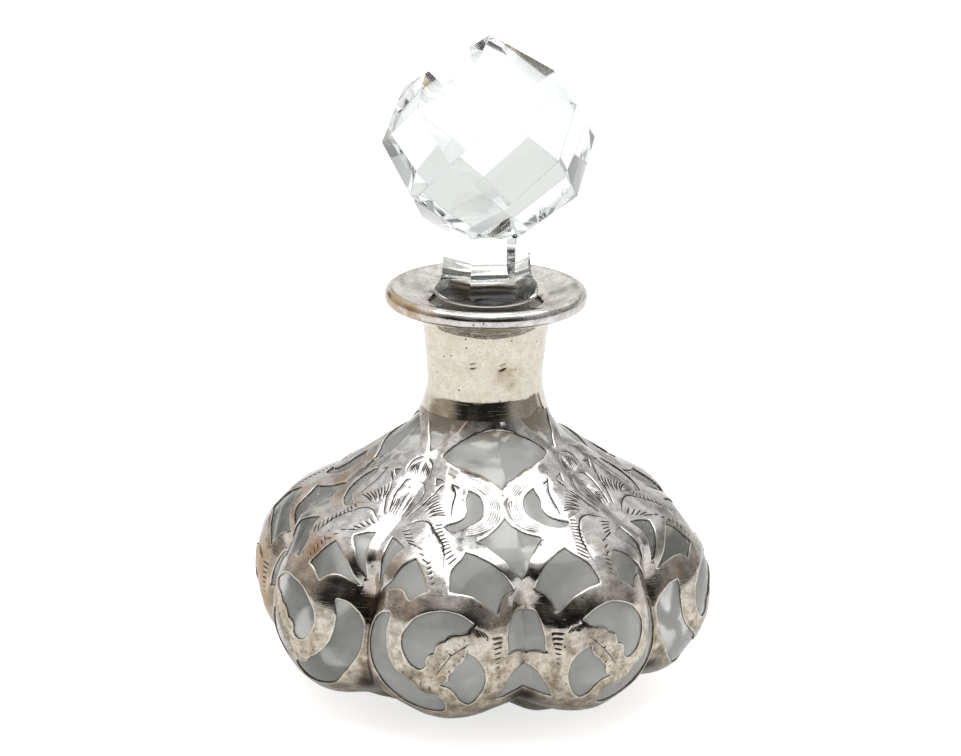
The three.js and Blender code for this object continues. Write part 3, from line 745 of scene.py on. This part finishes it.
def neck_shape(turn, height, place):
    """Small dents, an uneven surface, and the foot torn over the flower to the right."""
    out = 0.1 * (noise.noise(place * 0.17) - 0.4) + 0.03 * noise.noise(place * 0.5)
    for dent_turn, dent_height, wide, tall, deep in NECK_DENTS:
        off = turn - dent_turn
        out -= deep * math.exp(-((off / wide) ** 2) - ((height - dent_height - 0.06 * off) / tall) ** 2)
    torn = math.exp(-(((turn - TEAR_TURN) / 11) ** 4))
    broad = noise.noise(Vector((turn * 0.35, 0, 0)))
    fine = noise.noise(Vector((turn * 1.1, 5, 0)))
    ragged = 0.75 + 0.55 * broad + 0.25 * fine
    return out, TEAR_HEIGHT * torn * ragged * max(0, 1 - (height - NECK[0][1]) / 5)


def silver_neck(materials):
    outer = smooth_profile([*NECK, *UNDER_LIP], 0.4)
    inner = smooth_profile([(r - SILVER, z + 0.1) for r, z in NECK[:-1]], 0.8)
    profile = [*outer, *NECK_RETURN, *reversed(inner)]
    return spun_piece("silver_neck", profile, materials, "silver_collar", neck_shape)


def lip_shape(turn, height, place):
    return 0.09 * (noise.noise(place * 0.11) - 0.45), 0.05 * (noise.noise(place * 0.16) - 0.5)


def silver_lip(materials):
    roll = smooth_profile(LIP_ROLL, 0.2)
    top = smooth_profile([LIP_ROLL[-1], *LIP_TOP], 0.4)
    profile = [*roll[:-1], *top, *LIP_BACK]
    return spun_piece("silver_lip", profile, materials, "silver_rim", lip_shape)


def cut_ball(bm):
    """The facetted ball, open below. Gives the edges round its opening."""
    half = 180 / STOPPER_SIDES
    rings = [(*corners, half if k % 2 else 0) for k, corners in enumerate(BALL_RINGS)]
    bmesh.ops.create_vert(bm, co=(0, 0, (BALL_HEIGHT + BALL_APEX) * MM))
    for radius, above, offset in [*rings, (*BALL_FOOT, 0)]:
        turns = STOPPER_TURN + offset + np.arange(STOPPER_SIDES) * 2 * half
        for place in round_row(radius, BALL_HEIGHT + above)(turns):
            bmesh.ops.create_vert(bm, co=place * MM)
    bmesh.ops.convex_hull(bm, input=bm.verts[:])
    bmesh.ops.dissolve_limit(bm, angle_limit=math.radians(0.6), verts=bm.verts[:], edges=bm.edges[:])
    bmesh.ops.recalc_face_normals(bm, faces=bm.faces[:])
    foot = (BALL_HEIGHT + BALL_FOOT[1] + 0.1) * MM
    high = [e for e in bm.edges if all(v.co.z > foot for v in e.verts)]
    bmesh.ops.bevel(
        bm, geom=high, offset=FACET_EDGE * MM, offset_type="OFFSET", segments=2, profile=0.5,
        affect="EDGES", material=2, clamp_overlap=True,
    )
    base = [f for f in bm.faces if all(v.co.z < foot for v in f.verts)]
    bmesh.ops.delete(bm, geom=base, context="FACES_ONLY")
    rim = [e for e in bm.edges if e.is_boundary]
    bmesh.ops.subdivide_edges(bm, edges=rim, cuts=SHANK_COLUMNS // STOPPER_SIDES - 1, use_grid_fill=False)
    return [e for e in bm.edges if e.is_boundary]


def shank_radius(turn, height):
    """A round flared shank with six flats cut down it, softly rounded where they run out."""
    corner = curve_through(SHANK_CORNERS, height)
    side = 360 / STOPPER_SIDES
    from_middle = (turn - STOPPER_TURN) % side - side / 2
    flat = corner * math.cos(math.radians(side / 2)) / math.cos(math.radians(from_middle))
    blank = curve_through(SHANK_ROUND, height)
    return (flat + blank - math.hypot(flat - blank, 0.1)) / 2


def cut_stopper(glass, ground, worn):
    """The ball, with its shank and its peg drawn down out of it ring by ring."""
    bm = bmesh.new()
    loop = cut_ball(bm)
    collar = SHANK_ROUND[0][0]
    top = BALL_HEIGHT + BALL_FOOT[1] - 0.7
    heights = [*np.arange(top, FLARE_TOP, -0.7), *np.arange(FLARE_TOP, collar, -0.14), collar]
    for radius, height in [*((None, z) for z in heights), *PEG[:-1]]:
        made = bmesh.ops.extrude_edge_only(bm, edges=loop)["geom"]
        loop = [g for g in made if isinstance(g, bmesh.types.BMEdge) and g.is_boundary]
        for vert in only_verts(made):
            turn = math.atan2(vert.co.x, -vert.co.y)
            reach = radius if radius else float(shank_radius(math.degrees(turn), height))
            vert.co = Vector((reach * math.sin(turn), -reach * math.cos(turn), height)) * MM
        for face in (g for g in made if isinstance(g, bmesh.types.BMFace)):
            face.material_index = int(height < PEG[0][1])
    for face in bmesh.ops.holes_fill(bm, edges=loop)["faces"]:
        face.material_index = 1
    piece = finish_piece("cut_stopper", bm, [glass, ground, worn], "stopper", sharp=11)
    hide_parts("stopper")


class Graph:
    """A node tree, with short ways to add nodes and join them."""

    def __init__(self, tree):
        self.nodes, self.links = tree.nodes, tree.links

    def put(self, socket, value):
        if isinstance(value, bpy.types.NodeSocket):
            self.links.new(value, socket)
        elif hasattr(socket.default_value, "__len__") and len(socket.default_value) == 4:
            socket.default_value = (*value, 1)
        else:
            socket.default_value = value

    def add(self, kind, settings=None, **inputs):
        node = self.nodes.new("ShaderNode" + kind)
        for name, value in (settings or {}).items():
            setattr(node, name, value)
        self.fill(node, **inputs)
        return node

    def fill(self, node, **inputs):
        for name, value in inputs.items():
            self.put(node.inputs[name.replace("_", " ")], value)

    def math(self, operation, *values, kind="Math", output=0):
        node = self.add(kind, {"operation": operation})
        for socket, value in zip(node.inputs, values):
            self.put(socket, value)
        return node.outputs[output]

    def vector(self, operation, output, *values):
        return self.math(operation, *values, kind="VectorMath", output=output)

    def times(self, a, b):
        return self.math("MULTIPLY", a, b)

    def plus(self, a, b):
        return self.math("ADD", a, b)

    def most(self, a, b):
        return self.math("MAXIMUM", a, b)

    def off(self, a, b):
        """How far one value is from another."""
        return self.math("ABSOLUTE", self.math("SUBTRACT", a, b))

    def mix(self, factor, a, b, blend="MIX"):
        node = self.add("Mix", {"data_type": "RGBA", "blend_type": blend})
        for socket, value in zip((node.inputs[0], node.inputs[6], node.inputs[7]), (factor, a, b)):
            self.put(socket, value)
        return node.outputs[2]

    def span(self, value, low, high, to_low=0.0, to_high=1.0):
        """A value that eases from one level to another between a low and a high place."""
        node = self.add("MapRange", {"interpolation_type": "SMOOTHSTEP"}, Value=value)
        for name, number in (("From Min", low), ("From Max", high), ("To Min", to_low), ("To Max", to_high)):
            node.inputs[name].default_value = number
        return node.outputs[0]

    def ramp(self, value, stops):
        node = self.add("ValToRGB", Fac=value)
        elements = node.color_ramp.elements
        while len(elements) < len(stops):
            elements.new(0.5)
        for element, (place, colour) in zip(elements, stops):
            element.position = place
            element.color = (*colour, 1)
        return node.outputs["Color"]

    def noise(self, coords, scale, detail=2.0, rough=0.5):
        return self.add("TexNoise", Vector=coords, Scale=scale, Detail=detail, Roughness=rough).outputs["Fac"]

    def stretched(self, coords, turned, scale):
        return self.add("Mapping", Vector=coords, Rotation=turned, Scale=scale).outputs["Vector"]

    def bump(self, shader, height, distance):
        """Fine relief on a material, of a distance in mm."""
        node = self.add("Bump", Height=height, Strength=1, Distance=distance * MM)
        self.fill(shader, Normal=node.outputs[0])

    def place(self):
        """The point on the object."""
        return self.add("TexCoord").outputs["Object"]

    def axes(self, coords):
        """The X, Y and Z of a point."""
        return self.add("SeparateXYZ", Vector=coords).outputs

    def turn(self, x, y):
        """The turn from -Y towards +X, in radians."""
        return self.math("ARCTAN2", x, self.times(y, -1.0))

    def attribute(self, name):
        return self.add("Attribute", {"attribute_name": name}).outputs["Fac"]


def group_of(name, inputs, outputs):
    """A node group with its named sockets, as (group, graph, input node, output node)."""
    tree = bpy.data.node_groups.new(name, "ShaderNodeTree")
    for in_out, sockets in (("INPUT", inputs), ("OUTPUT", outputs)):
        for socket, kind in sockets:
            tree.interface.new_socket(name=socket, in_out=in_out, socket_type="NodeSocket" + kind)
    return tree, Graph(tree), tree.nodes.new("NodeGroupInput"), tree.nodes.new("NodeGroupOutput")


def aged_silver():
    """Old silver's blotches, fine grain, specks and scratches."""
    colours = [("Bright", "Color"), ("Dull", "Color"), ("Tarnish", "Color")]
    tree, g, given, out = group_of(
        "aged_silver",
        [*colours, ("Tarnish Amount", "Float"), ("Dullness", "Float")],
        [("Color", "Color"), ("Roughness", "Float"), ("Height", "Float")],
    )
    place = g.place()
    medium = g.noise(place, 480, 6, 0.68)
    fine = g.noise(place, 2700, 3, 0.6)
    tone = g.mix(g.span(medium, 0.36, 0.64), given.outputs["Dull"], given.outputs["Bright"])
    patch = g.plus(g.times(g.noise(place, 95, 3, 0.6), 0.7), g.times(medium, 0.3))
    patch = g.plus(patch, g.times(given.outputs["Tarnish Amount"], 0.34))
    stained = g.span(patch, 0.6, 0.78)
    tone = g.mix(stained, tone, given.outputs["Tarnish"])
    level = g.span(fine, 0.3, 0.7, 0.84, 1.05)
    grain = g.add("CombineColor", {"mode": "RGB"}, Red=level, Green=level, Blue=level)
    tone = g.mix(1, tone, grain.outputs[0], "MULTIPLY")
    cell = g.add("TexVoronoi", Vector=place, Scale=620.0).outputs
    chosen = g.add("SeparateColor", Color=cell["Color"]).outputs[0]
    speck = g.times(g.span(cell["Distance"], 0.07, 0.15, 1, 0), g.math("GREATER_THAN", chosen, 0.62))
    tone = g.mix(g.times(speck, 0.85), tone, (0.04, 0.033, 0.028))
    lines = []
    for turned, threshold in (((0.4, 0.7, 0.2), 0.665), ((-0.6, 0.3, 1.1), 0.68)):
        line = g.noise(g.stretched(place, turned, (1, 1, 26)), 170, 1, 0.5)
        lines.append(g.span(line, threshold, threshold + 0.02))
    scratch = g.most(*lines)
    tone = g.mix(g.times(scratch, 0.3), tone, (0.75, 0.72, 0.66))
    rough = g.plus(g.span(medium, 0.3, 0.7, 0.6, 1.4), g.times(stained, 0.9))
    rough = g.times(rough, given.outputs["Dullness"])
    pits = g.times(g.plus(speck, g.times(scratch, 0.12)), 0.7)
    height = g.math("SUBTRACT", g.plus(g.times(medium, 0.6), g.times(fine, 0.15)), pits)
    for name, value in (("Color", tone), ("Roughness", rough), ("Height", height)):
        g.put(out.inputs[name], value)
    return tree


def new_material(name):
    """A material, with its graph and its shader."""
    material = bpy.data.materials.new(name)
    material.use_nodes = True
    g = Graph(material.node_tree)
    return material, g, g.nodes["Principled BSDF"]


def silver_material(name, ageing, **finish):
    """A material of old silver: its graph, its shader, and the ageing group's node."""
    material, g, shader = new_material(name)
    shader.inputs["Metallic"].default_value = 1
    aged = g.add("Group", {"node_tree": ageing}, **finish)
    g.fill(shader, Base_Color=aged.outputs["Color"], Roughness=aged.outputs["Roughness"])
    g.bump(shader, aged.outputs["Height"], 0.03)
    return material, g, shader, aged


def overlay_silver(ageing):
    """The scrollwork's silver: creamy low down, dirty in its cuts, with painted shade at its foot, edges and
    creases and a painted highlight inside its edges.
    """
    material, g, shader, aged = silver_material(
        "scroll_silver", ageing, Tarnish=(0.42, 0.26, 0.13), Dullness=0.12
    )
    place = g.place()
    x, y, z = g.axes(place)
    high = g.span(z, 12 * MM, 38 * MM)
    g.fill(aged, Bright=g.mix(high, (0.79, 0.715, 0.585), (0.71, 0.695, 0.695)))
    g.fill(aged, Dull=g.mix(high, (0.38, 0.31, 0.22), (0.44, 0.425, 0.42)))
    to_left = g.span(x, -30 * MM, 10 * MM, 0.4, 0)
    middle = g.span(g.off(z, 26 * MM), 2 * MM, 14 * MM, 0.16, 0)
    straps = g.span(z, 42 * MM, 50 * MM, 0, 0.2)
    g.fill(aged, Tarnish_Amount=g.plus(g.plus(to_left, middle), straps))

    # Painted shade near the table: the silver darkens towards its foot, in blotches a little above it.
    grime_and_foot_shade = g.times(g.span(g.noise(place, 150, 6, 0.68), 0.47, 0.62), 0.9)
    foot = g.times(g.span(z, 3 * MM, 9 * MM, 0.9, 0.65), grime_and_foot_shade)
    foot = g.most(foot, g.span(z, 1 * MM, 6 * MM, 0.8, 0))
    low_part = g.span(z, 18 * MM, 30 * MM, 1, 0)
    colour = g.mix(g.times(foot, low_part), aged.outputs["Color"], (0.14, 0.115, 0.085))

    edge = g.attribute("from_edge")
    # A painted highlight, partly polished wear: a pale line just inside each outline.
    rim = g.times(g.span(edge, 0.12, 0.26), g.span(edge, 0.35, 0.7, 1, 0))
    colour = g.mix(g.times(rim, 0.5), colour, (0.86, 0.82, 0.72))

    # A painted dark reflection in the lower creases, broken up by noise.
    lobe = g.math("ABSOLUTE", g.math("SINE", g.times(g.turn(x, y), LOBES / 2)))
    crease = g.times(g.span(lobe, 0.02, 0.3, 0.6, 0), g.span(z, 14 * MM, 24 * MM, 1, 0))
    crease = g.times(crease, g.span(g.noise(place, 260, 4, 0.6), 0.38, 0.6))
    colour = g.mix(crease, colour, (0.1, 0.075, 0.055))
    # Painted shadow: a near-black wedge under each crease's mouth, low on the lobes.
    under = g.times(g.span(lobe, 0.1, 0.5, 0.93, 0), g.span(z, 10 * MM, 13 * MM, 1, 0))
    colour = g.mix(under, colour, (0.028, 0.022, 0.018))

    # Dirt in the engraved cuts, and painted shade along the outlines where the sheet meets the glass.
    cut = g.span(g.attribute("engraved"), 0.03, 0.3, 0, 0.97)
    dirt_and_edge_shade = g.most(g.span(edge, 0.02, 0.13, 0.88, 0), cut)
    g.fill(shader, Base_Color=g.mix(dirt_and_edge_shade, colour, (0.022, 0.018, 0.015)))
    g.fill(shader, Roughness=g.plus(aged.outputs["Roughness"], g.times(dirt_and_edge_shade, 0.4)))
    return material


def lip_silver(ageing):
    """The lip's silver: browner round the throat, and golden on its roll towards the left."""
    material, g, shader, aged = silver_material(
        "lip_silver", ageing, Bright=(0.92, 0.9, 0.87), Dull=(0.62, 0.6, 0.58),
        Tarnish=(0.4, 0.28, 0.17), Dullness=0.06,
    )
    place = g.place()
    x, y, _ = g.axes(place)
    radius = g.vector("LENGTH", "Value", g.add("CombineXYZ", X=x, Y=y).outputs[0])
    g.fill(aged, Tarnish_Amount=g.span(radius, 10 * MM, 13.5 * MM, 0.4, 0.02))
    beside = g.span(g.off(g.turn(x, y), math.radians(GOLD_TURN)), 0.25, 0.6, 0.85, 0)
    golden = g.times(beside, g.span(radius, 16.4 * MM, 17.1 * MM))
    golden = g.times(golden, g.span(g.noise(place, 170, 4, 0.6), 0.35, 0.55))
    g.fill(shader, Base_Color=g.mix(golden, aged.outputs["Color"], (0.5, 0.34, 0.18)))
    return material


def neck_silver(ageing):
    return silver_material(
        "neck_silver", ageing, Bright=(0.83, 0.785, 0.67), Dull=(0.72, 0.67, 0.54),
        Tarnish=(0.42, 0.32, 0.2), Tarnish_Amount=0.1, Dullness=0.055,
    )[0]


def silver_back(name, ageing, colour):
    """The dull side of the silver, next to the glass."""
    darker = tuple(0.6 * c for c in colour)
    return silver_material(
        name, ageing, Bright=colour, Dull=darker, Tarnish=darker, Tarnish_Amount=0.2, Dullness=0.5
    )[0]


def glass_material(name, transmission=1.0, **inputs):
    material, g, shader = new_material(name)
    shader.inputs["IOR"].default_value = 1.5
    shader.inputs["Transmission Weight"].default_value = transmission
    g.fill(shader, **inputs)
    return material, g, shader


def clear_glass():
    """Old glass under a thin film, brown in the neck's root, with painted shade towards the left and to the
    sides.
    """
    material, g, shader = glass_material("clear_glass", 0.68)
    place = g.place()
    x, y, z = g.axes(place)
    film = g.ramp(g.noise(place, 48, 4, 0.6), [(0.38, (0.62, 0.64, 0.6)), (0.56, (1, 1, 0.985))])
    film = g.mix(g.span(z, 30 * MM, 40 * MM), film, (0.99, 1, 0.985))
    colour = g.mix(g.span(z, 47.5 * MM, 51 * MM), film, (0.6, 0.5, 0.39))
    smear = g.noise(place, 160, 4, 0.6)
    g.fill(shader, Roughness=g.span(smear, 0.5, 0.75, 0.01, 0.07))
    # Painted shade: the glass greys towards the left and towards both sides, as the camera sees them.
    leftward = g.times(x, -math.cos(math.radians(FRONT)))
    leftward = g.math("MULTIPLY_ADD", y, -math.sin(math.radians(FRONT)), leftward)
    left = g.span(leftward, 14 * MM, 32 * MM, 0, 0.35)
    sides = g.span(g.math("ABSOLUTE", leftward), 16 * MM, 30 * MM)
    sides = g.times(sides, g.span(z, 20 * MM, 32 * MM, 0, 0.88))
    side_shade = g.times(g.most(left, sides), g.span(smear, 0.3, 0.6, 0.7, 1))
    g.fill(shader, Base_Color=g.mix(side_shade, colour, (0.28, 0.275, 0.245)))
    g.bump(shader, g.noise(place, 60, 1), 0.05)
    return material


def hazed_glass():
    """The hollow's wall, clouded by what the bottle held, and clearer towards the shoulder."""
    material, g, shader = glass_material("hazed_glass", 0.94)
    place = g.place()
    z = g.axes(place)["Z"]
    cloud = g.noise(place, 90, 6, 0.65)
    rough = g.times(g.span(z, 26 * MM, 42 * MM, 0.22, 0.16), g.span(cloud, 0.3, 0.7, 0.6, 1.2))
    g.fill(shader, Roughness=rough)
    clouded = g.ramp(cloud, [(0.35, (0.84, 0.85, 0.82)), (0.65, (0.99, 0.99, 0.97))])
    g.fill(shader, Base_Color=g.mix(g.span(z, 47 * MM, 50 * MM), clouded, (0.3, 0.22, 0.15)))
    return material


def cut_glass():
    material, g, shader = glass_material("cut_glass", Base_Color=(0.938, 0.974, 0.975))
    scuff = g.noise(g.place(), 700, 5, 0.7)
    g.fill(shader, Roughness=g.span(scuff, 0.62, 0.72, 0, 0.12))
    return material


def ground_glass():
    # Dark brown: stains on the peg, and painted shade of the throat that is seen through the stopper.
    material, g, shader = glass_material("ground_glass", Base_Color=(0.27, 0.24, 0.2))
    grind = g.noise(g.stretched(g.place(), (0, 0, 0), (1, 1, 12)), 300, 2)
    g.fill(shader, Roughness=g.span(grind, 0.3, 0.7, 0.25, 0.45))
    return material


def worn_edges():
    return glass_material("worn_edges", Base_Color=(0.8, 0.83, 0.83), Roughness=0.4)[0]


def white_floor():
    """A white floor that keeps the bottle's shadow, and glows a little where it is seen."""
    bm = bmesh.new()
    bmesh.ops.create_grid(bm, x_segments=1, y_segments=1, size=3)
    bmesh.ops.translate(bm, verts=bm.verts[:], vec=(0, 0, -0.3 * MM))
    material, g, shader = new_material("white_floor")
    material.cycles.emission_sampling = "NONE"
    g.fill(shader, Base_Color=(0.86, 0.86, 0.86), Roughness=0.9, Specular_IOR_Level=0)
    g.fill(shader, Emission_Color=(1, 1, 1))
    path = g.add("LightPath").outputs
    seen = g.most(g.times(path["Is Transmission Ray"], 0.45), g.times(path["Is Glossy Ray"], 0.2))
    seen = g.most(path["Is Camera Ray"], seen)
    g.fill(shader, Emission_Strength=g.times(seen, FLOOR_GLOW))
    floor = new_object("floor", mesh_of("floor", bm, [material]))


def studio_room():
    """The room as metal and glass show it: dark in front of the table and pale behind it."""
    world = bpy.data.worlds.new("studio_room")
    bpy.context.scene.world = world
    world.use_nodes = True
    world.cycles.sampling_method = "NONE"
    g = Graph(world.node_tree)
    way = g.add("TexCoord").outputs["Generated"]
    x, y, z = g.axes(way)
    level = g.vector("NORMALIZE", "Vector", g.add("CombineXYZ", X=x, Y=y).outputs[0])

    def towards(azimuth):
        a = math.radians(FRONT + azimuth)
        return g.vector("DOT_PRODUCT", "Value", level, (math.sin(a), -math.cos(a), 0))

    elevation = g.times(g.math("ARCSINE", z), math.degrees(1))
    elevation = g.plus(elevation, g.span(g.noise(way, 3.0, 3, 0.6), 0.3, 0.7, -7, 7))
    t = g.math("MULTIPLY_ADD", elevation, 0.01, 0.1)

    def wall(*levels):
        """A ramp over -10 to 90 degrees, from (elevation, brightness, tint) rows."""
        return g.ramp(t, [((e + 10) / 100, [light * c for c in tint]) for e, light, tint in levels])

    cool, warm, plain = (1, 1, 0.99), (1, 0.88, 0.76), (1, 0.97, 0.93)
    front = wall(
        (-10, 0.012, plain), (14, 0.018, plain), (24, 0.07, plain), (33, 0.28, plain), (44, 0.46, plain),
        (53, 0.85, cool), (65, 1, cool),
    )
    left = wall(
        (-10, 0.3, warm), (15, 0.5, warm), (32, 0.6, warm), (46, 0.9, plain), (60, 1, cool),
    )
    right = wall(
        (-10, 0.2, plain), (15, 0.35, plain), (32, 0.5, plain), (46, 0.8, cool), (60, 1, cool),
    )
    behind = wall((-10, 0.75, plain), (20, 0.85, plain), (45, 0.95, cool), (60, 1, cool))
    dim = g.times(g.span(g.noise(way, 1.7, 2, 0.5), 0.5, 0.62), g.span(elevation, 18, 34, 0.75, 0))
    behind = g.mix(dim, behind, (0.1, 0.095, 0.09))
    room = g.mix(g.span(towards(90), -0.35, 0.35), left, right)
    room = g.mix(g.span(towards(180), 0.25, 0.85), room, behind)
    room = g.mix(g.span(towards(-5), 0.35, 0.85), room, front)

    path = g.add("LightPath").outputs
    by_glass, by_camera = path["Is Transmission Ray"], path["Is Camera Ray"]
    shown = g.mix(by_glass, room, g.mix(0.2, room, (0.96, 1, 0.99)))
    shown = g.mix(by_camera, shown, (1, 1, 1))
    seen = g.most(g.most(by_camera, path["Is Glossy Ray"]), by_glass)
    shown = g.mix(seen, (ROOM_FILL, ROOM_FILL, ROOM_FILL), shown)
    g.put(g.nodes["Background"].inputs["Color"], shown)


def lamp(name, height, size, power):
    """A square lamp that looks straight down on the bottle."""
    light = bpy.data.lights.new(name, "AREA")
    light.size = size
    light.energy = power
    new_object(name, light).location = (0, 0, height)


def camera():
    data = bpy.data.cameras.new("camera")
    data.sensor_width = 36
    data.lens = LENS
    data.clip_start = 0.01
    holder = new_object("camera", data)
    look = Euler((math.radians(CAMERA_TILT), 0, math.radians(FRONT))).to_matrix()
    roll = Matrix.Rotation(math.radians(CAMERA_ROLL), 3, "Z")
    holder.matrix_world = Matrix.Translation(CAMERA_PLACE) @ (look @ roll).to_4x4()
    bpy.context.scene.camera = holder


camera()
white_floor()
studio_room()
lamp("overhead", height=1.0, size=1.1, power=5.7)
scene = bpy.context.scene
scene.cycles.glossy_bounces = 12
scene.cycles.transmission_bounces = 20
scene.cycles.max_bounces = 24
scene.view_settings.view_transform = "Standard"

ageing = aged_silver()
# Painted shade: the neck silver's back is near black, so the throat looks dark through the glass and the
# stopper.
throat_shade_back = silver_back("silver_in_neck", ageing, (0.045, 0.036, 0.028))
silver_overlay(overlay_silver(ageing), silver_back("silver_back", ageing, (0.8, 0.79, 0.75)))
silver_neck([neck_silver(ageing), throat_shade_back])
rim_silver = lip_silver(ageing)
silver_lip([rim_silver, rim_silver])
glass_body(clear_glass(), hazed_glass())
cut_stopper(cut_glass(), ground_glass(), worn_edges())
